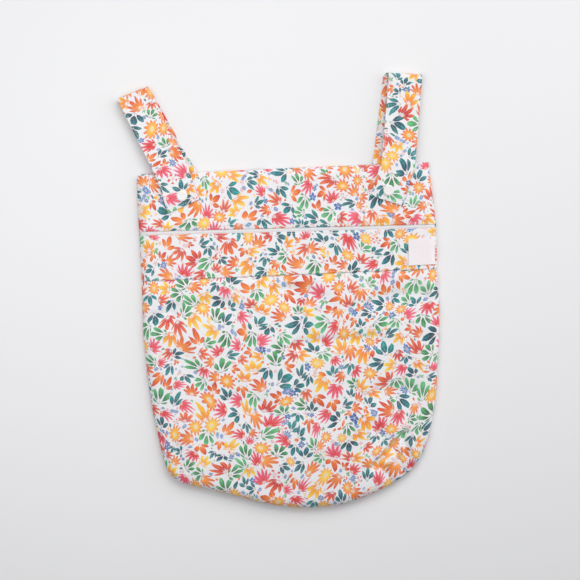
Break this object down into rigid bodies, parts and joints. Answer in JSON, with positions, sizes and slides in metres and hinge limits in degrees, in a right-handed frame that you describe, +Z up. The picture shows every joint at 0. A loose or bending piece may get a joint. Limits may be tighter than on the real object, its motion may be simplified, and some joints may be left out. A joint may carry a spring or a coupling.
{
  "type": "cloth diaper wet bag",
  "caption": "Zipped cloth pouch with a round bottom and two snapped hanging straps, lying flat on its back.",
  "frame": {"origin": "on the surface the bag lies on, below the centre of its overall outline", "axes": "+Z up, out of the front of the bag; +Y along the bag, from its round bottom towards the straps; +X to the right as the front is seen"},
  "size_m": [0.3618, 0.4964, 0.0184],
  "materials": {
    "printed_cloth": "satin",
    "zip_cloth": "matte",
    "zip_plastic": "satin",
    "snap_plastic": "satin",
    "label_cloth": "matte"
  },
  "bodies": {
    "root": {"back_panel": "printed_cloth", "front_panel": "printed_cloth", "front_band": "printed_cloth", "top_panel": "printed_cloth", "zip_tape": "zip_cloth", "zip_coil": "zip_plastic", "zip_slider": "zip_plastic", "label": "label_cloth", "strap_left": "printed_cloth", "strap_right": "printed_cloth", "snap_left": "snap_plastic", "snap_right": "snap_plastic"}
  },
  "joints": []
}
